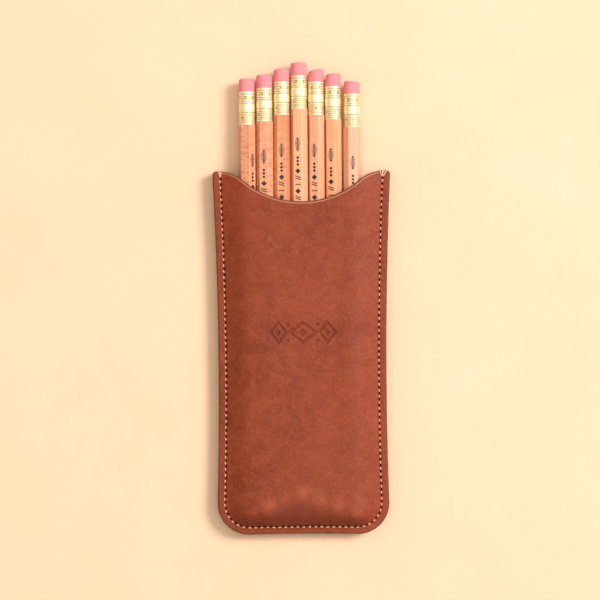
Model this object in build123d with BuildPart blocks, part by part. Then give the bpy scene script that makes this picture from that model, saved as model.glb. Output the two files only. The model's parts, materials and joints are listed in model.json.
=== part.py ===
"""Leather pencil sleeve with seven pencils: a flat pen and pencil case lying on its back.

Two leather panels are saddle-stitched together along both sides and the toe, and are open at
a scooped mouth. Seven new, unsharpened pencils lie side by side in the pocket with their
erasers out of the mouth, and each one slides along its own length.

Frame: the origin is on the resting plane, under the middle of the sleeve. +X runs across the
sleeve, +Y from the toe to the mouth, and +Z up through the front panel.
"""

import os
from math import cos, hypot, radians, sin

from build123d import *

# --- Sleeve outline ---------------------------------------------------------------------
SLEEVE_LENGTH = 157.8
MOUTH_WIDTH = 77.0
WAIST_WIDTH = 72.6
TOE_WIDTH = 75.2
WAIST_Y = -10.0
TOE_RISE = 0.8  # how far the toe edge bows in at its middle
TOE_CORNER_RADIUS = 13.5
HORN_CORNER_RADIUS = 1.6
SCOOP_RADIUS = 39.0  # hollow of the mouth
HORN_RADIUS = 17.0  # round shoulder beside it
SCOOP_ANGLE = 40.5  # slope where the two arcs meet, in degrees

# --- Sleeve section ---------------------------------------------------------------------
LEATHER = 1.9
SEAM_Z = 5.2  # the plane where the two panels meet
CEILING_Z = 10.4  # inside of the front panel
CEILING_WIDTH = 51.2  # its flat part
FLOOR_Z = LEATHER  # inside of the back panel
FLOOR_WIDTH = 54.0
POCKET_INSET = 4.1  # from the panel's edge to where the pocket starts
POCKET_TOE_Y = -70.8  # where the ceiling and the floor end
POCKET_TOE_RADIUS = 4.4
OVER_MOUTH = 12.0  # how far the pocket's cutting shapes run past the mouth
OUTER_BEND = 3.0  # bends of the leather, outside and inside
INNER_BEND = 2.0

# --- Thread -----------------------------------------------------------------------------
STITCH_INSET = 3.3
STITCH_PITCH = 2.6
STITCH_START = 3.2  # from the mouth's edge to the first hole, on both sides
HOLE_RADIUS = 0.45
LEG_RADIUS = 0.3  # the two strands, drawn together, in one hole
THREAD_WIDTH = 0.7
THREAD_HEIGHT = 0.5  # of the flattened thread on the leather
THREAD_GAP = 0.02  # between the leather and the thread lying on it
WRAP_LIFT = 0.08  # the end wraps lie over the last stitch
LEFT_WRAPS = (0, 14)  # how far outward the turns over the mouth's edge lean, in degrees
RIGHT_WRAPS = (-4, 10, 24)

# --- Pencils ----------------------------------------------------------------------------
PENCIL_LENGTH = 187.5
HEX_FLATS = 6.7
HEX_EDGE_RADIUS = 0.6
CORE_RADIUS = 1.1
FERRULE_RADIUS = 3.56
FERRULE_WALL = 0.2
FERRULE_LENGTH = 14.4
TENON_LENGTH = 7.0
ERASER_OUT = 5.7  # how much of the eraser shows
ERASER_IN = 7.0
ERASER_EDGE = 0.5
GLUE_GAP = 0.03  # glue line round the core, the tenon and the eraser
RIB_DEPTH = 0.1
RIB_PITCH = 0.9
RIBS_FROM = (0.6, 9.0)  # where the two ribbed bands start, from the eraser's side
RIBS_IN_BAND = (5, 4)
DENTS_AT = (3.0, 7.4)  # the two rows of punched dents
DENTS_IN_ROW = 8
DENT_RADIUS = 0.5
DENT_DEPTH = 0.12

# Each pencil: place across the sleeve, height of its axis, roll about its axis in degrees,
# and how far its eraser's end lies from the sleeve's middle.
PENCILS = (
    (-23.3, 6.10, 16, 118.9),
    (-15.75, 6.55, 6, 120.4),
    (-8.3, 6.15, 3, 123.1),
    (-0.8, 6.30, 11, 125.7),
    (6.55, 5.85, 15, 123.0),
    (13.9, 5.90, 18, 121.0),
    (22.1, 6.30, -4, 117.6),
)

HALF_LENGTH = SLEEVE_LENGTH / 2
TENON_START = ERASER_OUT + FERRULE_LENGTH - TENON_LENGTH
BORE_RADIUS = FERRULE_RADIUS - FERRULE_WALL


def save(piece, name):
    """Label a finished piece and write it to its own file."""
    piece.part.label = name
    export_step(piece.part, f"parts/{name}.step")


# --- Leather panels ---------------------------------------------------------------------
def panel_outline():
    """One cut panel: bowed sides, round toe corners and a scooped mouth."""
    angle = radians(SCOOP_ANGLE)
    turn = Vector(SCOOP_RADIUS * sin(angle), SCOOP_RADIUS * (1 - cos(angle)))
    horn = turn + Vector(HORN_RADIUS * sin(angle), HORN_RADIUS * (1 - cos(angle)))
    half = angle / 2
    shoulder = horn - Vector(HORN_RADIUS * sin(half), HORN_RADIUS * (1 - cos(half)))
    scoop_y = HALF_LENGTH - horn.Y
    mouth, toe = MOUTH_WIDTH / 2, TOE_WIDTH / 2
    with BuildSketch() as outline:
        with BuildLine():
            ThreePointArc((mouth, HALF_LENGTH), (WAIST_WIDTH / 2, WAIST_Y), (toe, -HALF_LENGTH))
            ThreePointArc((toe, -HALF_LENGTH), (0, -HALF_LENGTH + TOE_RISE), (-toe, -HALF_LENGTH))
            ThreePointArc((-toe, -HALF_LENGTH), (-WAIST_WIDTH / 2, WAIST_Y), (-mouth, HALF_LENGTH))
            for side in (-1, 1):
                Line((side * mouth, HALF_LENGTH), (side * horn.X, HALF_LENGTH))
                ThreePointArc(
                    (side * horn.X, HALF_LENGTH),
                    (side * shoulder.X, scoop_y + shoulder.Y),
                    (side * turn.X, scoop_y + turn.Y),
                )
            ThreePointArc((-turn.X, scoop_y + turn.Y), (0, scoop_y), (turn.X, scoop_y + turn.Y))
        make_face()
        fillet(outline.vertices().group_by(Axis.Y)[0], radius=TOE_CORNER_RADIUS)
        mouth_end = outline.vertices().group_by(Axis.Y)[-1].sort_by(Axis.X)
        fillet([mouth_end[0], mouth_end[-1]], radius=HORN_CORNER_RADIUS)
    return outline.sketch


def inset_sides(inset):
    """The panel's two sides and its toe, moved in by inset, as one open line."""
    mouth, toe = MOUTH_WIDTH / 2 - inset, TOE_WIDTH / 2 - inset
    waist, low = WAIST_WIDTH / 2 - inset, -HALF_LENGTH + inset
    with BuildLine() as sides:
        ThreePointArc((-mouth, HALF_LENGTH), (-waist, WAIST_Y), (-toe, low))
        ThreePointArc((-toe, low), (0, low + TOE_RISE), (toe, low))
        ThreePointArc((toe, low), (waist, WAIST_Y), (mouth, HALF_LENGTH))
        fillet(sides.vertices().group_by(Axis.Y)[0], radius=TOE_CORNER_RADIUS - inset)
    return sides.wire()


def pocket_section(inset):
    """The pocket's outline at the seam, run on straight past the mouth."""
    mouth, over = MOUTH_WIDTH / 2 - inset, HALF_LENGTH + OVER_MOUTH
    with BuildSketch() as section:
        with BuildLine():
            add(inset_sides(inset))
            Polyline((mouth, HALF_LENGTH), (mouth, over), (-mouth, over), (-mouth, HALF_LENGTH))
        make_face()
    return section.sketch


def flat_section(width, toe_y):
    """The flat of the pocket's ceiling or floor, with as many edges as pocket_section."""
    half, over = width / 2, HALF_LENGTH + OVER_MOUTH
    with BuildSketch() as section:
        with BuildLine():
            Polyline((-half, HALF_LENGTH), (-half, toe_y), (half, toe_y), (half, HALF_LENGTH))
            Polyline((half, HALF_LENGTH), (half, over), (-half, over), (-half, HALF_LENGTH))
        make_face()
        fillet(section.vertices().group_by(Axis.Y)[0], radius=POCKET_TOE_RADIUS)
    return section.sketch


def tray(base_z, base_inset, flat_z, flat_width, toe_y, bend):
    """A shallow tray between the seam and one face of the pocket, with its rim bent round."""
    with BuildPart() as shape:
        with BuildSketch(Plane.XY.offset(base_z)):
            add(pocket_section(base_inset))
        with BuildSketch(Plane.XY.offset(flat_z)):
            add(flat_section(flat_width, toe_y))
        loft(ruled=True)
        flat = shape.faces().filter_by(Plane.XY).sort_by(lambda face: abs(face.center().Z - flat_z))[0]
        rim = flat.edges().filter_by(lambda edge: (edge @ 0.5).Y < HALF_LENGTH + OVER_MOUTH / 2)
        fillet(rim, radius=bend)
    return shape.part


def stitch_holes():
    """Every stitch hole from the left of the mouth, round the toe, to the right of it."""
    line = inset_sides(STITCH_INSET)
    count = round((line.length - 2 * STITCH_START) / STITCH_PITCH)
    start = STITCH_START / line.length
    return [line @ (start + (1 - 2 * start) * step / count) for step in range(count + 1)]


def panel(facing, flat_z, flat_width, holes):
    """One leather panel, bulged from the seam to flat_z; facing is 1 for the front one."""
    rise = abs(flat_z - SEAM_Z)
    run = MOUTH_WIDTH / 2 - POCKET_INSET - flat_width / 2
    widen = LEATHER * (hypot(rise, run) - run) / rise
    inner = tray(SEAM_Z, POCKET_INSET, flat_z, flat_width, POCKET_TOE_Y, INNER_BEND)
    outer = tray(
        SEAM_Z + facing * LEATHER,
        POCKET_INSET - widen,
        flat_z + facing * LEATHER,
        flat_width + 2 * widen,
        POCKET_TOE_Y - widen,
        OUTER_BEND,
    )
    seam = Plane.XY.offset(SEAM_Z)
    with BuildPart() as leather:
        with BuildSketch(seam):
            add(panel_outline())
        extrude(amount=facing * LEATHER)
        add(outer)
        with BuildSketch(seam):
            add(panel_outline())
        extrude(amount=facing * (rise + LEATHER), mode=Mode.INTERSECT)
        add(inner, mode=Mode.SUBTRACT)
        with BuildSketch(seam):
            with Locations(*holes):
                Circle(HOLE_RADIUS)
        extrude(amount=facing * (rise + LEATHER), mode=Mode.SUBTRACT)
    return leather


# --- Thread -----------------------------------------------------------------------------
def stitching_thread(holes):
    """One thread: a run on each face of the seam, a leg in every hole, and the end wraps."""
    inner_height = LEATHER + THREAD_GAP
    outer_height = inner_height + THREAD_HEIGHT
    half = THREAD_WIDTH / 2
    with BuildPart() as thread:
        for run_z in (SEAM_Z + inner_height, SEAM_Z - outer_height):
            with BuildSketch(Plane.XY.offset(run_z)):
                add(pocket_section(STITCH_INSET - half))
                add(pocket_section(STITCH_INSET + half), mode=Mode.SUBTRACT)
                with Locations((0, holes[0].Y + half + OVER_MOUTH)):
                    Rectangle(2 * MOUTH_WIDTH, 2 * OVER_MOUTH, mode=Mode.SUBTRACT)
            extrude(amount=THREAD_HEIGHT)
        leg_end = inner_height + THREAD_HEIGHT / 2
        with BuildSketch(Plane.XY.offset(SEAM_Z - leg_end)):
            with Locations(*holes):
                Circle(LEG_RADIUS)
        extrude(amount=2 * leg_end)
        for side, hole, angles in ((-1, holes[0], LEFT_WRAPS), (1, holes[-1], RIGHT_WRAPS)):
            for angle in angles:
                out = Vector(side * sin(radians(angle)), cos(radians(angle)), 0)
                edge = STITCH_START / cos(radians(angle)) + THREAD_GAP
                upright = Plane(origin=hole + Vector(0, 0, SEAM_Z), x_dir=out, z_dir=out.cross(Vector(0, 0, 1)))
                with BuildSketch(upright):
                    with Locations(((edge + THREAD_WIDTH) / 2, 0)):
                        Rectangle(edge + THREAD_WIDTH, 2 * (outer_height + WRAP_LIFT))
                    Rectangle(2 * edge, 2 * inner_height, mode=Mode.SUBTRACT)
                extrude(amount=half, both=True)
    return thread


# --- Pencils ----------------------------------------------------------------------------
def slat(end, side):
    """Half of a pencil's casing, glued to the other along its middle; side 1 is the upper."""
    with BuildPart() as wood:
        with BuildSketch(end.offset(TENON_START)) as section:
            RegularPolygon(radius=HEX_FLATS / 2, side_count=6, major_radius=False)
            fillet(section.vertices(), radius=HEX_EDGE_RADIUS)
            with Locations((0, side * HEX_FLATS)):
                Rectangle(2 * HEX_FLATS, 2 * HEX_FLATS, mode=Mode.INTERSECT)
            Circle(CORE_RADIUS + GLUE_GAP, mode=Mode.SUBTRACT)
        extrude(amount=PENCIL_LENGTH - TENON_START)
        with BuildSketch(end.offset(TENON_START)):
            Circle(HEX_FLATS)
            Circle(BORE_RADIUS - GLUE_GAP, mode=Mode.SUBTRACT)
        extrude(amount=TENON_LENGTH, mode=Mode.SUBTRACT)
    return wood


def lead(end):
    """The graphite core, from inside the ferrule to the flat lower end."""
    with BuildPart() as core:
        with BuildSketch(end.offset(TENON_START)):
            Circle(CORE_RADIUS)
        extrude(amount=PENCIL_LENGTH - TENON_START)
    return core


def ferrule(end):
    """The metal tube that joins wood and eraser, with ribbed bands and punched dents."""
    with BuildPart() as tube:
        with BuildSketch(end.offset(ERASER_OUT)):
            Circle(FERRULE_RADIUS)
            Circle(BORE_RADIUS, mode=Mode.SUBTRACT)
        extrude(amount=FERRULE_LENGTH)
        for first, count in zip(RIBS_FROM, RIBS_IN_BAND):
            for groove in range(count):
                with BuildSketch(end.offset(ERASER_OUT + first + groove * RIB_PITCH)):
                    Circle(FERRULE_RADIUS)
                    Circle(FERRULE_RADIUS - RIB_DEPTH, mode=Mode.SUBTRACT)
                extrude(amount=RIB_PITCH / 2, mode=Mode.SUBTRACT)
        for row in DENTS_AT:
            with Locations(end.offset(ERASER_OUT + row)):
                with PolarLocations(FERRULE_RADIUS + DENT_RADIUS - DENT_DEPTH, DENTS_IN_ROW):
                    Sphere(DENT_RADIUS, mode=Mode.SUBTRACT)
    return tube


def eraser(end):
    """The eraser plug, with a rounded rim."""
    with BuildPart() as plug:
        with BuildSketch(end):
            Circle(BORE_RADIUS - GLUE_GAP)
        extrude(amount=ERASER_OUT + ERASER_IN)
        fillet(plug.edges().sort_by(Axis.Y)[-1], radius=ERASER_EDGE)
    return plug


if __name__ == "__main__":
    os.makedirs("parts", exist_ok=True)
    hole_points = stitch_holes()
    save(panel(1, CEILING_Z, CEILING_WIDTH, hole_points), "front_panel")
    save(panel(-1, FLOOR_Z, FLOOR_WIDTH, hole_points), "back_panel")
    save(stitching_thread(hole_points), "stitching_thread")
    for number, (x, z, roll, end_y) in enumerate(PENCILS, start=1):
        across = (cos(radians(roll)), 0, sin(radians(roll)))
        eraser_end = Plane(origin=(x, end_y, z), x_dir=across, z_dir=(0, -1, 0))
        save(slat(eraser_end, 1), f"pencil_{number}_upper_slat")
        save(slat(eraser_end, -1), f"pencil_{number}_lower_slat")
        save(lead(eraser_end), f"pencil_{number}_lead")
        save(ferrule(eraser_end), f"pencil_{number}_ferrule")
        save(eraser(eraser_end), f"pencil_{number}_eraser")
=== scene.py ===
"""Looks of the leather pencil sleeve: leather panels, saddle stitching and seven pencils.

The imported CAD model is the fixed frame. Shapes are worked out in millimetres, in the frame's
own axes (+X across the sleeve, +Y to the mouth, +Z up), and turned into metres when a mesh is
made. The leather is drawn over the pencils by relaxing a sheet on them, then cut to the
outline, with rounded edges, stitch holes and a pressed ornament in its mesh.
"""

import json
import math

import bpy
import numpy as np
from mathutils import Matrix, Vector, geometry, kdtree


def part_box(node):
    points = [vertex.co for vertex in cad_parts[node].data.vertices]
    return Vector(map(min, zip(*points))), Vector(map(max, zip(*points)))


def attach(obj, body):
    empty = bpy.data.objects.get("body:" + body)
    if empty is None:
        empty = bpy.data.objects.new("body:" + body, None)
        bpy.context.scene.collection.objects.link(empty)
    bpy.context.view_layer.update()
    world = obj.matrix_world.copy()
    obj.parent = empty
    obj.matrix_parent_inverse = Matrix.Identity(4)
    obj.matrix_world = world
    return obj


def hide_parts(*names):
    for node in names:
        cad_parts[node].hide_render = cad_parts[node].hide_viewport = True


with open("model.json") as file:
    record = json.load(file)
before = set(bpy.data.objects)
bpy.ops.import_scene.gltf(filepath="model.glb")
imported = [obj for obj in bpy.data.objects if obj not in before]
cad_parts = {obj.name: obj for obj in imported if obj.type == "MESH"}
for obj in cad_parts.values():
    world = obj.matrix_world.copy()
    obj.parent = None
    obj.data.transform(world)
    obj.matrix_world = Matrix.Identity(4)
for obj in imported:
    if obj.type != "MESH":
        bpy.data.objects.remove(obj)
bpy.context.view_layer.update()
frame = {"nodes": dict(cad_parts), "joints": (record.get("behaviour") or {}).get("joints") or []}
MM = 0.001
RNG = np.random.default_rng(7)


def box_mm(node):
    """Lowest and highest corner of a CAD node, in millimetres."""
    low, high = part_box(node)
    return np.array(low) / MM, np.array(high) / MM


# --- Sizes, in millimetres ---
HALF_LENGTH = 78.9
MOUTH_HALF, WAIST_HALF, TOE_HALF = 38.5, 36.3, 37.6  # half widths of the outline
WAIST_Y = -10.0
TOE_RISE = 0.8  # of the toe's middle, from its corners
TOE_CORNER, HORN_CORNER = 13.5, 1.6
HORN_STEP = 0.3  # between points on a horn's small corner, at most
SCOOP_RADIUS, HORN_RADIUS, SCOOP_ANGLE = 39.0, 17.0, math.radians(40.5)
FAR = 1e6  # the radius of a circle that stands for a straight line

LEATHER = 1.9  # the thickness of a panel
SEAM_Z = box_mm("front_panel")[0][2]
EDGE_ROUND = 0.75  # how far the burnished cut edge rounds into the face
FLANGE = 4.4  # the flat border that is sewn together
STITCH_INSET, STITCH_PITCH, STITCH_START = 3.3, 2.6, 3.2
THREAD_RADIUS = 0.3
PIT_HALVES = (0.58, 0.36)  # a stitch hole's half length and half width
PIT_DEPTH = 0.9
PIT_SLANT = math.radians(-16)

PENCIL_COUNT = 7
ROLLS = (16, 6, 3, 11, 15, 18, -4)  # degrees, as the CAD pencils lie
HEX_FLATS = 6.7

# --- Small mesh tools ---


def add_object(name, data):
    """A new object in the scene."""
    made = bpy.data.objects.new(name, data)
    bpy.context.scene.collection.objects.link(made)
    return made


def make_piece(name, points, faces, material, body, replaced=(), smooth=True, marks=None):
    """A mesh object from points in millimetres, riding on a body, with optional vertex marks."""
    mesh = bpy.data.meshes.new(name)
    mesh.from_pydata((np.asarray(points, float) * MM).tolist(), [], [list(map(int, f)) for f in faces])
    mesh.validate()
    mesh.polygons.foreach_set("use_smooth", [smooth] * len(mesh.polygons))
    for label, values in (marks or {}).items():
        attribute = mesh.attributes.new(label, "FLOAT", "POINT")
        attribute.data.foreach_set("value", np.asarray(values, np.float32))
    mesh.materials.append(material)
    piece = add_object(name, mesh)
    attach(piece, body)
    if replaced:
        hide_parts(*replaced)


class Builder:
    """Collects the points and faces of one piece."""

    def __init__(self):
        self.points, self.faces, self.count = [], [], 0

    def add(self, points, faces):
        """Add points and the faces between them; gives the first point's place in the piece."""
        base = self.count
        self.points.append(np.asarray(points, float))
        self.faces += [[base + i for i in face] for face in faces]
        self.count += len(points)
        return base

    def all_points(self):
        """The points of everything added so far."""
        return np.concatenate(self.points)


def ring_faces(rings, sides, closed_ends=True):
    """Quads between rings of equal size, and the two end caps."""
    faces = []
    for r in range(rings - 1):
        for s in range(sides):
            t = (s + 1) % sides
            faces.append((r * sides + s, r * sides + t, (r + 1) * sides + t, (r + 1) * sides + s))
    if closed_ends:
        faces.append(tuple(range(sides))[::-1])
        faces.append(tuple((rings - 1) * sides + s for s in range(sides)))
    return faces


def strand(path, radius, sides=10, turns_per_mm=0.42, lobes=0.2):
    """A two-ply twisted thread along a path: points and faces."""
    path = np.asarray(path, float)
    along = np.gradient(path, axis=0)
    along /= np.linalg.norm(along, axis=1)[:, None]
    lengths = np.concatenate([[0], np.cumsum(np.linalg.norm(np.diff(path, axis=0), axis=1))])
    side = np.cross(along[0], [0.0, 0.0, 1.0])
    if np.linalg.norm(side) < 0.2:
        side = np.cross(along[0], [1.0, 0.0, 0.0])
    points = []
    radii = np.broadcast_to(radius, len(path))
    for here, ahead, length, thick in zip(path, along, lengths, radii):
        side = side - ahead * side.dot(ahead)
        side /= np.linalg.norm(side)
        up = np.cross(ahead, side)
        angles = np.arange(sides) * 2 * math.pi / sides
        ply = 1 - lobes + lobes * np.abs(np.cos(angles - 2 * math.pi * turns_per_mm * length))
        for angle, share in zip(angles, ply):
            points.append(here + thick * share * (math.cos(angle) * side + math.sin(angle) * up))
    return points, ring_faces(len(path), sides)


# --- Outline of the leather ---


def circle_through(a, b, c):
    """Centre and radius of the circle through three points."""
    (ax, ay), (bx, by), (cx, cy) = a, b, c
    d = 2 * (ax * (by - cy) + bx * (cy - ay) + cx * (ay - by))
    a2, b2, c2 = ax * ax + ay * ay, bx * bx + by * by, cx * cx + cy * cy
    centre = np.array([
        (a2 * (by - cy) + b2 * (cy - ay) + c2 * (ay - by)) / d,
        (a2 * (cx - bx) + b2 * (ax - cx) + c2 * (bx - ax)) / d,
    ])
    return centre, float(np.linalg.norm(centre - a))


def crossing(centre_a, radius_a, centre_b, radius_b, near):
    """The crossing of two circles that lies nearest to a point."""
    gap = centre_b - centre_a
    distance = np.linalg.norm(gap)
    along = (radius_a**2 - radius_b**2 + distance**2) / (2 * distance)
    height = math.sqrt(radius_a**2 - along**2)
    foot = centre_a + gap / distance * along
    across = np.array([-gap[1], gap[0]]) / distance * height
    return min((foot + across, foot - across), key=lambda p: np.linalg.norm(p - near))


def arc(centre, radius, start, end, step):
    """Points on an arc from one point to another, the short way round, without its last point."""
    first = math.atan2(start[1] - centre[1], start[0] - centre[0])
    sweep = math.atan2(end[1] - centre[1], end[0] - centre[0]) - first
    sweep = (sweep + math.pi) % (2 * math.pi) - math.pi
    count = max(2, round(abs(sweep) * radius / step))
    angles = first + sweep * np.arange(count) / count
    return np.stack([centre[0] + radius * np.cos(angles), centre[1] + radius * np.sin(angles)], 1)


def half_outline(step):
    """The left half of the outline, from the middle of the mouth round to the middle of the toe."""
    turn = np.array([SCOOP_RADIUS * math.sin(SCOOP_ANGLE), SCOOP_RADIUS * (1 - math.cos(SCOOP_ANGLE))])
    horn = turn * (SCOOP_RADIUS + HORN_RADIUS) / SCOOP_RADIUS
    scoop_y = HALF_LENGTH - horn[1]
    scoop_centre = np.array([0, scoop_y + SCOOP_RADIUS])
    horn_centre = np.array([-horn[0], HALF_LENGTH - HORN_RADIUS])
    turn_point = np.array([-turn[0], scoop_y + turn[1]])
    top, low = np.array([-MOUTH_HALF, HALF_LENGTH]), np.array([-TOE_HALF, -HALF_LENGTH])
    side_centre, side_radius = circle_through(top, (-WAIST_HALF, WAIST_Y), low)
    toe_centre, toe_radius = circle_through(low, (0, -HALF_LENGTH + TOE_RISE), (TOE_HALF, -HALF_LENGTH))
    far_above = np.array([0, FAR + HALF_LENGTH])
    edge = crossing(side_centre, side_radius + HORN_CORNER, far_above, FAR + HORN_CORNER, top)
    corner = crossing(side_centre, side_radius + TOE_CORNER, toe_centre, toe_radius + TOE_CORNER, low)

    def foot(centre, radius, point):
        """The place on a circle that is nearest to a point."""
        return centre + (point - centre) * radius / np.linalg.norm(point - centre)

    side_top, side_low = foot(side_centre, side_radius, edge), foot(side_centre, side_radius, corner)
    toe_start = foot(toe_centre, toe_radius, corner)
    horn_end, edge_start = np.array([-horn[0], HALF_LENGTH]), np.array([edge[0], HALF_LENGTH])
    count = max(2, round(np.linalg.norm(edge_start - horn_end) / step))
    mouth = [
        arc(scoop_centre, SCOOP_RADIUS, (0, scoop_y), turn_point, step),
        arc(horn_centre, HORN_RADIUS, turn_point, horn_end, step),
        horn_end + (edge_start - horn_end) * (np.arange(count) / count)[:, None],
    ]
    sides = [
        arc(edge, HORN_CORNER, edge_start, side_top, min(step, HORN_STEP)),
        arc(side_centre, side_radius, side_top, side_low, step),
        arc(corner, TOE_CORNER, side_low, toe_start, step),
        arc(toe_centre, toe_radius, toe_start, (0, -HALF_LENGTH + TOE_RISE), step),
    ]
    return np.concatenate(mouth), np.concatenate(sides)


def outline(step):
    """The closed outline, with each point's inward normal and whether it is on the mouth."""
    mouth, sides = half_outline(step)
    left = np.concatenate([mouth, sides])
    toe_middle = np.array([[0, -HALF_LENGTH + TOE_RISE]])
    right = left[1:][::-1] * [-1, 1]
    points = np.concatenate([left, toe_middle, right])
    on_mouth = np.zeros(len(points), bool)
    on_mouth[: len(mouth)] = True
    on_mouth[len(points) - len(mouth) + 1 :] = True
    along = np.roll(points, -1, 0) - np.roll(points, 1, 0)
    along /= np.linalg.norm(along, axis=1)[:, None]
    return points, np.stack([-along[:, 1], along[:, 0]], 1), on_mouth


DENSE, DENSE_NORMAL, DENSE_MOUTH = outline(0.12)


def tree_of(points):
    """A tree for finding the nearest of flat points."""
    tree = kdtree.KDTree(len(points))
    for index, (x, y) in enumerate(points):
        tree.insert((x, y, 0), index)
    tree.balance()
    return tree


ALL_EDGE = tree_of(DENSE)
SEWN_EDGE = tree_of(DENSE[~DENSE_MOUTH])


def distances(points, tree):
    """Distance to the nearest point of a tree, and that point's index."""
    found = [tree.find((x, y, 0)) for x, y in points]
    return np.array([f[2] for f in found]), np.array([f[1] for f in found])


def stitch_line():
    """Stitch holes from the left of the mouth round to the right, with the seam's direction."""
    below_horns = ~DENSE_MOUTH & (DENSE[:, 1] < HALF_LENGTH - HORN_CORNER)
    line = (DENSE + DENSE_NORMAL * STITCH_INSET)[below_horns]
    steps = np.concatenate([[0], np.cumsum(np.linalg.norm(np.diff(line, axis=0), axis=1))])
    start = STITCH_START - HORN_CORNER
    count = round((steps[-1] - 2 * start) / STITCH_PITCH)
    at = np.linspace(start, steps[-1] - start, count + 1)
    holes = np.stack([np.interp(at, steps, line[:, 0]), np.interp(at, steps, line[:, 1])], 1)
    along = np.gradient(holes, axis=0)
    return holes, along / np.linalg.norm(along, axis=1)[:, None]


HOLES, SEAM_WAY = stitch_line()
SEAM_IN = np.stack([-SEAM_WAY[:, 1], SEAM_WAY[:, 0]], 1)  # from the edge towards the pocket

# --- Heights of the leather ---
GRID = 1.0
GRID_HALVES = (44, 86)
GRID_X = np.arange(-GRID_HALVES[0], GRID_HALVES[0] + 1) * GRID
GRID_Y = np.arange(-GRID_HALVES[1], GRID_HALVES[1] + 1) * GRID

REST_GAP = 0.25  # between leather and pencil
CROWN_HALF, CROWN_HEIGHT, CROWN_LIFT = 3.7, 3.4, 0.2  # the ridge that stands for a pencil
END_BUMP = 0.9  # how far a pencil's end lifts the front
BUMP_AT, BUMP_HALF = 1.6, 2.1  # how far from the pencil's end that is, and its half length
TOE_ROOM = 1.6  # how far past a pencil that is pushed right in the front stays lifted
TOE_LIFT, LIFT_HALF = 1.4, 2.4  # how much it is lifted there, before it is eased, and its half length
FLAT_HALF, FLAT_FROM = 26.8, -73.5  # how far the back lies flat, across and towards the toe
CURL_FROM, CURL_WIDTH = 32, 8  # the stretch of the border that curls, across
LEFT_CURL, RIGHT_CURL = 0.04, 0.07  # how steeply it falls on the left and rises on the right
BOW, BOW_LENGTH = 0.25, 31  # the long wave of the border, along the sleeve
RIPPLE, RIPPLE_LENGTH = 0.12, 17  # a shorter one
FAR_BELOW = -50.0  # where nothing lies under the sheet
SLOPE_STEP = 0.3  # how far to both sides a slope is measured


def pencil_facts(number):
    """Axis place, lower end, ferrule span and eraser end of a pencil, from its CAD nodes."""
    ferrule_low, ferrule_high = box_mm(f"pencil_{number}_ferrule")
    tip_low, _ = box_mm(f"pencil_{number}_upper_slat")
    slide = next(joint for joint in frame["joints"] if joint["child"] == f"pencil_{number}")
    _, eraser_high = box_mm(f"pencil_{number}_eraser")
    return {
        "x": (ferrule_low[0] + ferrule_high[0]) / 2,
        "z": (ferrule_low[2] + ferrule_high[2]) / 2,
        "tip": tip_low[1],
        "deepest": tip_low[1] + slide["range_m"][0] / MM,
        "ferrule": (ferrule_low[1], ferrule_high[1]),
        "end": eraser_high[1],
        "roll": math.radians(ROLLS[number - 1]),
    }


PENCILS = [pencil_facts(number) for number in range(1, PENCIL_COUNT + 1)]


def blur(field, times):
    """A gentle smoothing, repeated."""
    for _ in range(times):
        padded = np.pad(field, 1, mode="edge")
        field = (
            4 * padded[1:-1, 1:-1]
            + 2 * (padded[:-2, 1:-1] + padded[2:, 1:-1] + padded[1:-1, :-2] + padded[1:-1, 2:])
            + padded[:-2, :-2] + padded[:-2, 2:] + padded[2:, :-2] + padded[2:, 2:]
        ) / 16
    return field


def sheet_over(obstacle, hold, held_at, rounds=2500, stiffness=5):
    """A sheet held along the flange and stretched over an obstacle, then eased like thick leather."""
    sheet = np.where(hold, held_at, np.maximum(obstacle, held_at))
    for _ in range(rounds):
        padded = np.pad(sheet, 1, mode="edge")
        mean = (padded[:-2, 1:-1] + padded[2:, 1:-1] + padded[1:-1, :-2] + padded[1:-1, 2:]) / 4
        sheet = np.where(hold, held_at, np.maximum(mean, obstacle))
    return blur(sheet, stiffness)


def seam_height(xs, ys):
    """Where the two panels meet: the border curls at both sides and waves along the sleeve."""
    right = np.clip(xs - CURL_FROM, 0, CURL_WIDTH)
    left = np.clip(-CURL_FROM - xs, 0, CURL_WIDTH)
    curl = right * RIGHT_CURL - left * LEFT_CURL
    return SEAM_Z + curl - BOW * np.cos(ys / BOW_LENGTH) + RIPPLE * np.sin(ys / RIPPLE_LENGTH + 1)


def pencil_crowns(xs, ys):
    """The tops of the pencils, as the front leather feels them."""
    top = np.full(xs.shape, FAR_BELOW)
    for pencil in PENCILS:
        across = np.clip(np.abs(xs - pencil["x"]) / CROWN_HALF, 0, 1)
        bump = END_BUMP * np.exp(-(((ys - pencil["tip"] - BUMP_AT) / BUMP_HALF) ** 2))
        lift = TOE_LIFT * np.exp(-(((ys - pencil["deepest"]) / LIFT_HALF) ** 2))
        crown = pencil["z"] + CROWN_LIFT + CROWN_HEIGHT * np.sqrt(1 - across**2)
        crown = crown + REST_GAP + np.maximum(bump, lift)
        covered = (across < 1) & (ys > pencil["deepest"] - TOE_ROOM)
        top = np.where(covered, np.maximum(top, crown), top)
    return top


def leather_heights():
    """Inner faces of the front and back panels, on the grid."""
    xs, ys = np.meshgrid(GRID_X, GRID_Y, indexing="ij")
    gap, _ = distances(np.stack([xs.ravel(), ys.ravel()], 1), SEWN_EDGE)
    hold = (gap.reshape(xs.shape) < FLANGE) | (np.abs(xs) > WAIST_HALF) | (ys < TOE_RISE - HALF_LENGTH)
    seam = seam_height(xs, ys)
    ceiling = sheet_over(pencil_crowns(xs, ys), hold, seam)
    under = np.where((np.abs(xs) < FLAT_HALF) & (ys > FLAT_FROM), -LEATHER, FAR_BELOW)
    floor = -sheet_over(under, hold, -seam)
    return ceiling, np.maximum(floor, LEATHER)


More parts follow.
